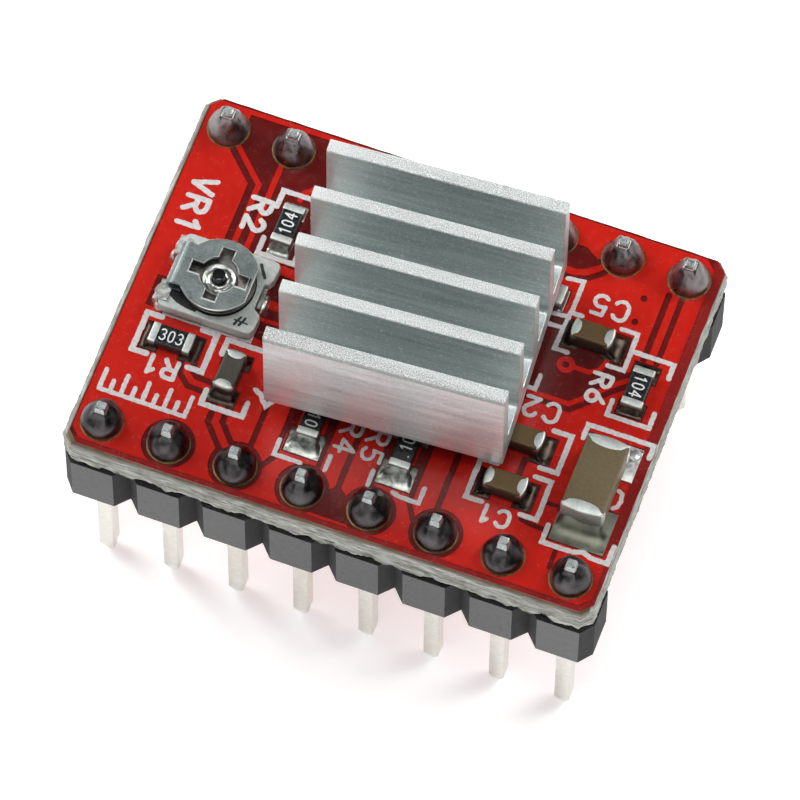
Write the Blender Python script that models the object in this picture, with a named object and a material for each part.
"""Stepper driver module: a small circuit board on two pin headers, with a finned heatsink on its driver
chip, a screwdriver trimmer that turns, chip resistors and chip capacitors.

Metres, +Z up. The module stands on its pin tips, and the origin is on the floor below the board's centre.
+X runs along the pin rows and -Y is the front.
"""
import math

import bmesh
import bpy

MM = 0.001
GAP = 0.02 * MM  # air between two pieces that touch on the real module

# Pin headers: the standard 0.1 inch grid
PITCH = 2.54 * MM
PINS_PER_ROW = 8
ROW_Y = 6.35 * MM
PIN_HALF = 0.32 * MM
PIN_BELOW_STRIP = 6.1 * MM
PIN_ABOVE_BOARD = 1.3 * MM
PIN_TIP_HALF = 0.17 * MM
PIN_TIP_TAPER = 0.45 * MM
PIN_TOP_CHAMFER = 0.06 * MM
STRIP_HEIGHT = 2.5 * MM
STRIP_HALF_WIDTH = 1.2 * MM
STRIP_FLAT_HALF = 0.8 * MM
STRIP_NOTCH_DEPTH = 0.5 * MM
STRIP_END_TRIM = 0.06 * MM

# Circuit board, broken out of a scored panel: the web left by the score stands proud of both faces
BOARD_LENGTH = 20.3 * MM
BOARD_WIDTH = 15.2 * MM
BOARD_THICKNESS = 1.6 * MM
SCORE_SETBACK = 0.16 * MM
SCORE_DEPTH = 0.5 * MM
BOARD_CORNER_CUT = 0.45 * MM
DRILL_RADIUS = 0.5 * MM

BOARD_BOTTOM = PIN_BELOW_STRIP + STRIP_HEIGHT
BOARD_TOP = BOARD_BOTTOM + BOARD_THICKNESS

# Solder joints
SOLDER_RADIUS = 0.84 * MM
SOLDER_HEIGHT = 0.95 * MM
ROUND_STEPS = 20

# Driver chip, adhesive pad and heatsink, stacked on the board
CHIP_CENTRE = (0.45 * MM, 0.45 * MM)
CHIP_SIDE = 5.0 * MM
CHIP_HEIGHT = 0.86 * MM
HEATSINK_CENTRE = (0.58 * MM, 0.37 * MM)
HEATSINK_TURN = math.radians(3.7)
HEATSINK_LENGTH = 8.86 * MM
HEATSINK_WIDTH = 8.3 * MM
HEATSINK_HEIGHT = 4.9 * MM
HEATSINK_BASE = 1.1 * MM
FIN_COUNT = 5
FIN_TIP = 0.52 * MM
FIN_FLARE = 0.05 * MM
FIN_ROOT_RADIUS = 0.18 * MM
FIN_TIP_RADIUS = 0.09 * MM
PAD_THICKNESS = 0.18 * MM
PAD_SETBACK = 0.25 * MM

# Trimmer: every height is measured from the board's top face
TRIMMER_CENTRE = (-6.82 * MM, 0.0)
CERAMIC_HALF_LENGTH = 1.85 * MM
CERAMIC_HALF_WIDTH = 1.55 * MM
CERAMIC_CORNER = 0.28 * MM
CERAMIC_BOTTOM = 0.12 * MM
CERAMIC_TOP = 0.62 * MM
CERAMIC_NOTCH_HALF = 0.5 * MM
CERAMIC_NOTCH_DEPTH = 0.28 * MM
RIVET_HOLE_RADIUS = 0.40 * MM
TRACK_INNER = 0.86 * MM
TRACK_OUTER = 1.36 * MM
TRACK_END_X = -1.48 * MM
TRACK_END_ANGLE = math.radians(142.0)
TRACK_THICKNESS = 0.02 * MM
SHEET = 0.10 * MM
WIPER_BOTTOM = 0.73 * MM
DRIVE_TOP = 1.31 * MM
DRIVE_RADIUS = 1.46 * MM
DRIVE_FLAT_X = 1.27 * MM
FOLD_X = -1.42 * MM
FOLD_HALF_WIDTH = 0.88 * MM
WIPER_RADIUS = 1.33 * MM
WIPER_BORE = 0.45 * MM
CROSS_HALF_WIDTH = 0.25 * MM
CROSS_TIP = 1.03 * MM
CROSS_CENTRE_RADIUS = 0.72 * MM
CONTACT_RADIUS = 1.1 * MM
RIVET_NECK = 0.38 * MM
RIVET_HEAD = 0.64 * MM
RIVET_BORE = 0.23 * MM
TERMINAL_HALF_WIDTH = 0.4 * MM
TERMINAL_Y = 0.95 * MM
TERMINAL_REACH = 0.34 * MM
WIPER_TERMINAL_HALF_WIDTH = 0.42 * MM

# Chip parts: name, centre x and y, lies along, length, width, height, end cap length, colour
CHIP_PARTS = (
    ("resistor_r1", -7.68, -2.55, "X", 1.6, 0.80, 0.45, 0.28, "resistor_black"),
    ("resistor_r2", -5.40, 3.22, "Y", 1.6, 0.80, 0.45, 0.28, "resistor_black"),
    ("resistor_r3", 4.18, 3.95, "X", 1.6, 0.80, 0.45, 0.28, "resistor_black"),
    ("resistor_r4", -1.78, -3.72, "Y", 1.6, 0.80, 0.45, 0.28, "resistor_black"),
    ("resistor_r5", 1.72, -3.76, "Y", 1.6, 0.80, 0.45, 0.28, "resistor_black"),
    ("resistor_r6", 8.66, 1.42, "Y", 1.6, 0.80, 0.45, 0.28, "resistor_black"),
    ("capacitor_c1", 5.54, -3.88, "X", 1.6, 0.80, 0.75, 0.32, "capacitor_tan"),
    ("capacitor_c2", 5.48, -1.95, "X", 1.6, 0.80, 0.75, 0.32, "capacitor_tan"),
    ("capacitor_c3", -5.22, -3.15, "Y", 1.6, 0.80, 0.75, 0.32, "capacitor_brown"),
    ("capacitor_c4", 8.50, -2.75, "Y", 3.15, 1.60, 1.20, 0.40, "capacitor_tan"),
    ("capacitor_c5", 6.46, 2.78, "X", 1.6, 0.80, 0.75, 0.32, "capacitor_tan"),
)
CHIP_BODY_INSET = 0.02 * MM

# Name: colour, roughness, metallic
FINISHES = {
    "board_red": ((0.55, 0.015, 0.012, 1.0), 0.30, 0.0),
    "header_plastic": ((0.05, 0.05, 0.055, 1.0), 0.45, 0.0),
    "pin_tin": ((0.80, 0.79, 0.76, 1.0), 0.25, 1.0),
    "solder": ((0.55, 0.55, 0.56, 1.0), 0.18, 1.0),
    "aluminium": ((0.78, 0.79, 0.80, 1.0), 0.35, 1.0),
    "adhesive_pad": ((0.75, 0.75, 0.72, 1.0), 0.80, 0.0),
    "chip_black": ((0.02, 0.02, 0.02, 1.0), 0.50, 0.0),
    "ceramic_white": ((0.80, 0.80, 0.77, 1.0), 0.45, 0.0),
    "track_black": ((0.01, 0.01, 0.01, 1.0), 0.40, 0.0),
    "rotor_steel": ((0.55, 0.58, 0.60, 1.0), 0.30, 1.0),
    "resistor_black": ((0.015, 0.018, 0.018, 1.0), 0.35, 0.0),
    "capacitor_tan": ((0.27, 0.20, 0.10, 1.0), 0.45, 0.0),
    "capacitor_brown": ((0.10, 0.08, 0.055, 1.0), 0.45, 0.0),
}


def clear_scene():
    """Remove whatever the scene holds."""
    for item in list(bpy.data.objects):
        bpy.data.objects.remove(item, do_unlink=True)


def make_materials():
    """One Principled material for each finish."""
    made = {}
    for name, (colour, roughness, metallic) in FINISHES.items():
        material = bpy.data.materials.new(name)
        material.use_nodes = True
        shader = material.node_tree.nodes["Principled BSDF"]
        shader.inputs["Base Color"].default_value = colour
        shader.inputs["Roughness"].default_value = roughness
        shader.inputs["Metallic"].default_value = metallic
        material.diffuse_color = colour
        made[name] = material
    return made


def add_object(name, shape, finish, location=(0.0, 0.0, 0.0), turn=0.0):
    """Turn a bmesh, or a mesh that another object has too, into a named object."""
    if isinstance(shape, bmesh.types.BMesh):
        mesh = bpy.data.meshes.new(name)
        bmesh.ops.recalc_face_normals(shape, faces=shape.faces)
        shape.to_mesh(mesh)
        shape.free()
        mesh.shade_smooth()
        mesh.set_sharp_from_angle(angle=math.radians(35.0))
        mesh.materials.append(MATERIALS[finish])
    else:
        mesh = shape
    item = bpy.data.objects.new(name, mesh)
    item.location = location
    item.rotation_euler = (0.0, 0.0, turn)
    bpy.context.scene.collection.objects.link(item)
    return item


def add_cutter(name, shape, location=(0.0, 0.0, 0.0)):
    """A guide solid that other objects' Booleans use."""
    cutter = add_object(name, shape, "solder", location)
    cutter.hide_render = True
    cutter.display_type = "WIRE"
    return cutter


def combine(item, other, operation):
    """Leave an exact Boolean on an object."""
    modifier = item.modifiers.new(operation.lower(), "BOOLEAN")
    modifier.operation = operation
    modifier.solver = "EXACT"
    modifier.object = other


def loft(shape, rings):
    """Close a solid through rings that all have the same number of points."""
    loops = []
    for ring in rings:
        loops.append([shape.verts.new(point) for point in ring])
    count = len(loops[0])
    for lower, upper in zip(loops, loops[1:]):
        for index in range(count):
            following = (index + 1) % count
            shape.faces.new((lower[index], lower[following], upper[following], upper[index]))
    shape.faces.new(list(reversed(loops[0])))
    shape.faces.new(loops[-1])


def lofted(rings):
    """A bmesh that holds one lofted solid."""
    shape = bmesh.new()
    loft(shape, rings)
    return shape


def at_height(outline, height):
    """An outline's points at one height."""
    return [(x, y, height) for x, y in outline]


def prism(outline, bottom, top):
    """A flat outline pulled up from one height to another."""
    return lofted([at_height(outline, bottom), at_height(outline, top)])


def arc(radius, start, end, steps, centre=(0.0, 0.0)):
    """Points along an arc, both ends included."""
    points = []
    for step in range(steps + 1):
        angle = start + (end - start) * step / steps
        points.append((centre[0] + radius * math.cos(angle), centre[1] + radius * math.sin(angle)))
    return points


def circle(radius, steps, centre=(0.0, 0.0)):
    """Points around a full circle, without repeating the first."""
    return arc(radius, 0.0, 2.0 * math.pi * (steps - 1) / steps, steps - 1, centre)


def rectangle(half_x, half_y, centre=(0.0, 0.0)):
    """The corners of a rectangle, anticlockwise."""
    x, y = centre
    return [(x - half_x, y - half_y), (x + half_x, y - half_y), (x + half_x, y + half_y), (x - half_x, y + half_y)]


def cut_corner_rectangle(half_x, half_y, cut):
    """A rectangle with its corners cut off at 45 degrees."""
    corners = []
    for sign_x, sign_y, along_first in ((-1, -1, False), (1, -1, True), (1, 1, False), (-1, 1, True)):
        along_x = (sign_x * (half_x - cut), sign_y * half_y)
        along_y = (sign_x * half_x, sign_y * (half_y - cut))
        corners += [along_x, along_y] if along_first else [along_y, along_x]
    return corners


def turned(profile, steps):
    """A solid turned about Z from a closed profile of (radius, height) points that stays off the axis."""
    shape = bmesh.new()
    loops = []
    for radius, height in profile:
        loops.append([shape.verts.new((x, y, height)) for x, y in circle(radius, steps)])
    loops.append(loops[0])
    for lower, upper in zip(loops, loops[1:]):
        for index in range(steps):
            following = (index + 1) % steps
            shape.faces.new((lower[index], lower[following], upper[following], upper[index]))
    return shape


def pin_positions():
    """Row name, number from the left and centre of each pin."""
    for row, y in (("front", -ROW_Y), ("back", ROW_Y)):
        for number in range(1, PINS_PER_ROW + 1):
            yield row, number, (number - (PINS_PER_ROW + 1) / 2) * PITCH, y


def add_board():
    """The bare board with its scored edges, broken corners and drilled holes."""
    rings = []
    for height, setback in (
        (BOARD_BOTTOM, SCORE_SETBACK),
        (BOARD_BOTTOM + SCORE_DEPTH, 0.0),
        (BOARD_TOP - SCORE_DEPTH, 0.0),
        (BOARD_TOP, SCORE_SETBACK),
    ):
        outline = cut_corner_rectangle(
            BOARD_LENGTH / 2 - setback, BOARD_WIDTH / 2 - setback, BOARD_CORNER_CUT - setback * 0.5
        )
        rings.append(at_height(outline, height))
    board = add_object("board", lofted(rings), "board_red")
    drills = bmesh.new()
    for _, _, x, y in pin_positions():
        outline = circle(DRILL_RADIUS, ROUND_STEPS, (x, y))
        loft(drills, [at_height(outline, BOARD_BOTTOM - MM), at_height(outline, BOARD_TOP + MM)])
    combine(board, add_cutter("board_drills", drills), "DIFFERENCE")


def strip_outline():
    """Eight cells in a row, notched where they snap apart."""
    inner = STRIP_HALF_WIDTH - STRIP_NOTCH_DEPTH
    half_length = PINS_PER_ROW * PITCH / 2 - STRIP_END_TRIM
    front = [(-half_length, -inner)]
    for number in range(PINS_PER_ROW):
        x = (number - (PINS_PER_ROW - 1) / 2) * PITCH
        front += [(x - STRIP_FLAT_HALF, -STRIP_HALF_WIDTH), (x + STRIP_FLAT_HALF, -STRIP_HALF_WIDTH)]
        front.append((min(x + PITCH / 2, half_length), -inner))
    return front + [(-x, -y) for x, y in front]


def add_headers():
    """Two plastic strips, sixteen square pins and their solder joints."""
    holes = bmesh.new()
    for _, _, x, y in pin_positions():
        outline = rectangle(PIN_HALF + GAP, PIN_HALF + GAP, (x, y))
        loft(holes, [at_height(outline, -MM), at_height(outline, BOARD_TOP + 2 * MM)])
    pin_holes = add_cutter("pin_holes", holes)
    for row, y in (("front", -ROW_Y), ("back", ROW_Y)):
        shape = prism(strip_outline(), PIN_BELOW_STRIP, BOARD_BOTTOM - GAP)
        strip = add_object("header_strip_" + row, shape, "header_plastic", (0.0, y, 0.0))
        combine(strip, pin_holes, "DIFFERENCE")

    pin_top = BOARD_TOP + PIN_ABOVE_BOARD
    rings = []
    for half, height in (
        (PIN_TIP_HALF, 0.0),
        (PIN_HALF, PIN_TIP_TAPER),
        (PIN_HALF, pin_top - PIN_TOP_CHAMFER),
        (PIN_HALF - PIN_TOP_CHAMFER, pin_top),
    ):
        rings.append(at_height(rectangle(half, half), height))
    pin_shape = lofted(rings)
    solder_shape = turned(solder_profile(), ROUND_STEPS)
    for row, number, x, y in pin_positions():
        pin = add_object(f"pin_{row}_{number}", pin_shape, "pin_tin", (x, y, 0.0))
        pin_shape = pin.data
        joint = add_object(f"solder_{row}_{number}", solder_shape, "solder", (x, y, 0.0))
        solder_shape = joint.data
        combine(joint, pin_holes, "DIFFERENCE")


def solder_profile():
    """A concave cone on the pad and the fill of the drilled hole, left open round the pin's middle."""
    inner = PIN_HALF * 0.5
    barrel = DRILL_RADIUS - GAP
    profile = [(inner, BOARD_BOTTOM), (barrel, BOARD_BOTTOM), (barrel, BOARD_TOP + GAP)]
    for radius_share, height_share in ((1.0, 0.0), (0.93, 0.16), (0.74, 0.42), (0.60, 0.74), (0.56, 1.0)):
        profile.append((SOLDER_RADIUS * radius_share, BOARD_TOP + GAP + SOLDER_HEIGHT * height_share))
    profile.append((inner, BOARD_TOP + GAP + SOLDER_HEIGHT))
    return profile


def heatsink_profile():
    """Base and fins seen along X: (y, height) points, anticlockwise from the lower front corner."""
    half = HEATSINK_WIDTH / 2
    pitch = (HEATSINK_WIDTH - FIN_TIP) / (FIN_COUNT - 1)
    quarter = math.pi / 2
    profile = [(-half, 0.0), (half, 0.0)]
    for number in reversed(range(FIN_COUNT)):
        back = -half + FIN_TIP + number * pitch
        front = back - FIN_TIP
        top = HEATSINK_HEIGHT - FIN_TIP_RADIUS
        if number < FIN_COUNT - 1:
            centre = (back + FIN_FLARE + FIN_ROOT_RADIUS, HEATSINK_BASE + FIN_ROOT_RADIUS)
            profile += arc(FIN_ROOT_RADIUS, -quarter, -2 * quarter, 3, centre)
        profile += arc(FIN_TIP_RADIUS, 0.0, quarter, 2, (back - FIN_TIP_RADIUS, top))
        profile += arc(FIN_TIP_RADIUS, quarter, 2 * quarter, 2, (front + FIN_TIP_RADIUS, top))
        if number > 0:
            centre = (front - FIN_FLARE - FIN_ROOT_RADIUS, HEATSINK_BASE + FIN_ROOT_RADIUS)
            profile += arc(FIN_ROOT_RADIUS, 0.0, -quarter, 3, centre)
    return profile


def add_chip_stack():
    """Driver chip, adhesive pad and the extruded heatsink, which is glued on slightly turned."""
    chip_rings = []
    for setback, height in ((0.04 * MM, 0.0), (0.0, 0.04 * MM), (0.0, CHIP_HEIGHT - 0.05 * MM), (0.05 * MM, CHIP_HEIGHT)):
        half = CHIP_SIDE / 2 - setback
        chip_rings.append(at_height(cut_corner_rectangle(half, half, 0.12 * MM), height))
    chip_bottom = BOARD_TOP + GAP
    add_object("driver_chip", lofted(chip_rings), "chip_black", (*CHIP_CENTRE, chip_bottom))

    pad_bottom = chip_bottom + CHIP_HEIGHT + GAP
    pad_outline = rectangle(HEATSINK_LENGTH / 2 - PAD_SETBACK, HEATSINK_WIDTH / 2 - PAD_SETBACK)
    pad_shape = prism(pad_outline, 0.0, PAD_THICKNESS)
    add_object("thermal_pad", pad_shape, "adhesive_pad", (*HEATSINK_CENTRE, pad_bottom), HEATSINK_TURN)

    heatsink_bottom = pad_bottom + PAD_THICKNESS + GAP
    ends = []
    for x in (-HEATSINK_LENGTH / 2, HEATSINK_LENGTH / 2):
        ends.append([(x, y, height) for y, height in heatsink_profile()])
    add_object("heatsink", lofted(ends), "aluminium", (*HEATSINK_CENTRE, heatsink_bottom), HEATSINK_TURN)


def ceramic_outline():
    """Rounded plate with a notch on the right for the wiper's terminal."""
    x = CERAMIC_HALF_LENGTH
    y = CERAMIC_HALF_WIDTH
    radius = CERAMIC_CORNER
    quarter = math.pi / 2
    outline = []
    for turn, sign_x, sign_y in ((0, 1, 1), (1, -1, 1), (2, -1, -1), (3, 1, -1)):
        centre = (sign_x * (x - radius), sign_y * (y - radius))
        outline += arc(radius, turn * quarter, (turn + 1) * quarter, 4, centre)
    notch = CERAMIC_NOTCH_HALF
    floor = x - CERAMIC_NOTCH_DEPTH
    return outline + [(x, -notch), (floor, -notch + 0.1 * MM), (floor, notch - 0.1 * MM), (x, notch)]


def track_outline():
    """Horseshoe of resistive ink whose two legs run out to the end terminals."""
    outer = arc(TRACK_OUTER, -TRACK_END_ANGLE, TRACK_END_ANGLE, 36)
    inner = arc(TRACK_INNER, TRACK_END_ANGLE, -TRACK_END_ANGLE, 28)
    upper_leg = [(TRACK_END_X, outer[-1][1]), (TRACK_END_X, inner[0][1])]
    lower_leg = [(x, -y) for x, y in reversed(upper_leg)]
    return outer + upper_leg + inner + lower_leg


def fold_profile():
    """The U of sheet metal that joins the drive plate to the wiper, as (x, height) points."""
    middle = (WIPER_BOTTOM + DRIVE_TOP) / 2
    outer = (DRIVE_TOP - WIPER_BOTTOM) / 2
    half_turn = math.pi
    outside = arc(outer, half_turn / 2, 1.5 * half_turn, 8, (FOLD_X, middle))
    inside = arc(outer - SHEET, 1.5 * half_turn, half_turn / 2, 8, (FOLD_X, middle))
    root = FOLD_X + 0.25 * MM
    return outside + [(root, outside[-1][1]), (root, inside[0][1])] + inside + [
        (root, inside[-1][1]),
        (root, outside[0][1]),
    ]


def drive_outline():
    """Round drive plate, flat on the right and with a tab on the left that runs into the fold."""
    flat = math.acos(DRIVE_FLAT_X / DRIVE_RADIUS)
    tab = math.pi - math.asin(FOLD_HALF_WIDTH / DRIVE_RADIUS)
    upper = arc(DRIVE_RADIUS, flat, tab, 16)
    lower = arc(DRIVE_RADIUS, -tab, -flat, 16)
    return upper + [(FOLD_X, FOLD_HALF_WIDTH), (FOLD_X, -FOLD_HALF_WIDTH)] + lower


def cross_outline():
    """Screwdriver cross: four slots round a circle."""
    meet = math.asin(CROSS_HALF_WIDTH / CROSS_CENTRE_RADIUS)
    quarter = math.pi / 2
    outline = []
    for turn in range(4):
        angle = turn * quarter
        along = (math.cos(angle), math.sin(angle))
        for side in (-CROSS_HALF_WIDTH, CROSS_HALF_WIDTH):
            outline.append((CROSS_TIP * along[0] - side * along[1], CROSS_TIP * along[1] + side * along[0]))
        outline += arc(CROSS_CENTRE_RADIUS, angle + meet, angle + quarter - meet, 5)
    return outline


def add_rotor(place):
    """One folded sheet: drive plate above, wiper below, joined by a U on the left."""
    ends = []
    for y in (-FOLD_HALF_WIDTH, FOLD_HALF_WIDTH):
        ends.append([(x, y, height) for x, height in fold_profile()])
    rotor = add_object("trimmer_rotor", lofted(ends), "rotor_steel", place)

    drive = prism(drive_outline(), DRIVE_TOP - SHEET, DRIVE_TOP)
    combine(rotor, add_cutter("rotor_drive_plate", drive, place), "UNION")
    wiper = prism(circle(WIPER_RADIUS, 40), WIPER_BOTTOM, WIPER_BOTTOM + SHEET)
    combine(rotor, add_cutter("rotor_wiper_plate", wiper, place), "UNION")
    contact_bottom = CERAMIC_TOP + TRACK_THICKNESS + GAP
    contact = prism(circle(0.12 * MM, 12, (CONTACT_RADIUS, 0.0)), contact_bottom, WIPER_BOTTOM + SHEET / 2)
    combine(rotor, add_cutter("rotor_contact", contact, place), "UNION")

    cross = prism(cross_outline(), DRIVE_TOP - 2 * SHEET, DRIVE_TOP + MM)
    combine(rotor, add_cutter("rotor_cross", cross, place), "DIFFERENCE")
    bore = prism(circle(WIPER_BORE, 32), 0.0, WIPER_BOTTOM + 2 * SHEET)
    combine(rotor, add_cutter("rotor_bore", bore, place), "DIFFERENCE")


def rivet_profile():
    """Hollow rivet: foot under the wiper's terminal plate, neck, and a dished head over the wiper."""
    foot = GAP
    head_bottom = WIPER_BOTTOM + SHEET + GAP
    head_top = head_bottom + 0.09 * MM
    return [
        (RIVET_BORE, foot),
        (RIVET_NECK, foot),
        (RIVET_NECK, head_bottom),
        (RIVET_HEAD, head_bottom),
        (RIVET_HEAD, head_top - 0.02 * MM),
        (RIVET_HEAD - 0.04 * MM, head_top),
        (RIVET_HEAD - 0.10 * MM, head_top - 0.01 * MM),
        (RIVET_HEAD - 0.14 * MM, head_bottom + 0.03 * MM),
        (RIVET_NECK, head_bottom + 0.03 * MM),
        (RIVET_NECK - 0.02 * MM, head_top + 0.03 * MM),
        (RIVET_NECK - 0.07 * MM, head_top + 0.06 * MM),
        (RIVET_BORE + 0.02 * MM, head_top + 0.04 * MM),
        (RIVET_BORE, head_top),
    ]


def end_terminal_profile():
    """Clip round the left edge of the ceramic, as (x, height) points."""
    outside = -CERAMIC_HALF_LENGTH - GAP - 0.09 * MM
    inside = outside + 0.09 * MM
    reach = -CERAMIC_HALF_LENGTH + TERMINAL_REACH
    lid = CERAMIC_TOP + GAP
    return [
        (outside, GAP),
        (reach, GAP),
        (reach, CERAMIC_BOTTOM - GAP),
        (inside, CERAMIC_BOTTOM - GAP),
        (inside, lid),
        (reach, lid),
        (reach, lid + 0.05 * MM),
        (outside, lid + 0.05 * MM),
    ]


def wiper_terminal_profile():
    """Plate from under the rivet to the notch, where it turns up, as (x, height) points."""
    inside = CERAMIC_HALF_LENGTH - CERAMIC_NOTCH_DEPTH + GAP
    outside = CERAMIC_HALF_LENGTH - 0.14 * MM
    start = -0.62 * MM
    return [
        (start, GAP),
        (outside, GAP),
        (outside, CERAMIC_TOP - 0.1 * MM),
        (inside, CERAMIC_TOP - 0.1 * MM),
        (inside, CERAMIC_BOTTOM - GAP),
        (start, CERAMIC_BOTTOM - GAP),
    ]


def across(profile, low_y, high_y):
    """A solid that carries an (x, height) profile from one y to another."""
    return lofted([[(x, y, height) for x, height in profile] for y in (high_y, low_y)])


def add_trimmer():
    """Ceramic plate, resistive track, terminals, hollow rivet and the rotor that turns round it."""
    place = (*TRIMMER_CENTRE, BOARD_TOP)
    base = add_object("trimmer_base", prism(ceramic_outline(), CERAMIC_BOTTOM, CERAMIC_TOP), "ceramic_white", place)
    rivet_hole = add_cutter("rivet_hole", prism(circle(RIVET_HOLE_RADIUS, 24), -MM, CERAMIC_TOP + MM), place)
    combine(base, rivet_hole, "DIFFERENCE")

    track_bottom = CERAMIC_TOP + GAP / 4
    track = prism(track_outline(), track_bottom, track_bottom + TRACK_THICKNESS)
    add_object("trimmer_track", track, "track_black", place)

    for name, y in (("trimmer_terminal_upper", TERMINAL_Y), ("trimmer_terminal_lower", -TERMINAL_Y)):
        clip = across(end_terminal_profile(), y - TERMINAL_HALF_WIDTH, y + TERMINAL_HALF_WIDTH)
        add_object(name, clip, "pin_tin", place)
    plate = across(wiper_terminal_profile(), -WIPER_TERMINAL_HALF_WIDTH, WIPER_TERMINAL_HALF_WIDTH)
    wiper_terminal = add_object("trimmer_terminal_wiper", plate, "pin_tin", place)
    combine(wiper_terminal, rivet_hole, "DIFFERENCE")

    add_object("trimmer_rivet", turned(rivet_profile(), 24), "pin_tin", place)
    add_rotor(place)


def chip_shape(length, width, height, cap):
    """A chip part along X: a slightly slimmer body between two end caps."""
    rings = []
    inset = CHIP_BODY_INSET
    for x, slimmer in (
        (-length / 2, 0.0),
        (-length / 2 + cap, 0.0),
        (-length / 2 + cap, inset),
        (length / 2 - cap, inset),
        (length / 2 - cap, 0.0),
        (length / 2, 0.0),
    ):
        half = width / 2 - slimmer
        low = slimmer
        high = height - slimmer
        rings.append([(x, -half, low), (x, half, low), (x, half, high), (x, -half, high)])
    return lofted(rings)


def add_chip_parts():
    """Resistors and capacitors, each flat on the board."""
    for name, x, y, lies_along, length, width, height, cap, finish in CHIP_PARTS:
        shape = chip_shape(length * MM, width * MM, height * MM, cap * MM)
        turn = math.pi / 2 if lies_along == "Y" else 0.0
        add_object(name, shape, finish, (x * MM, y * MM, BOARD_TOP + GAP), turn)


clear_scene()
MATERIALS = make_materials()
add_board()
add_headers()
add_chip_stack()
add_trimmer()
add_chip_parts()
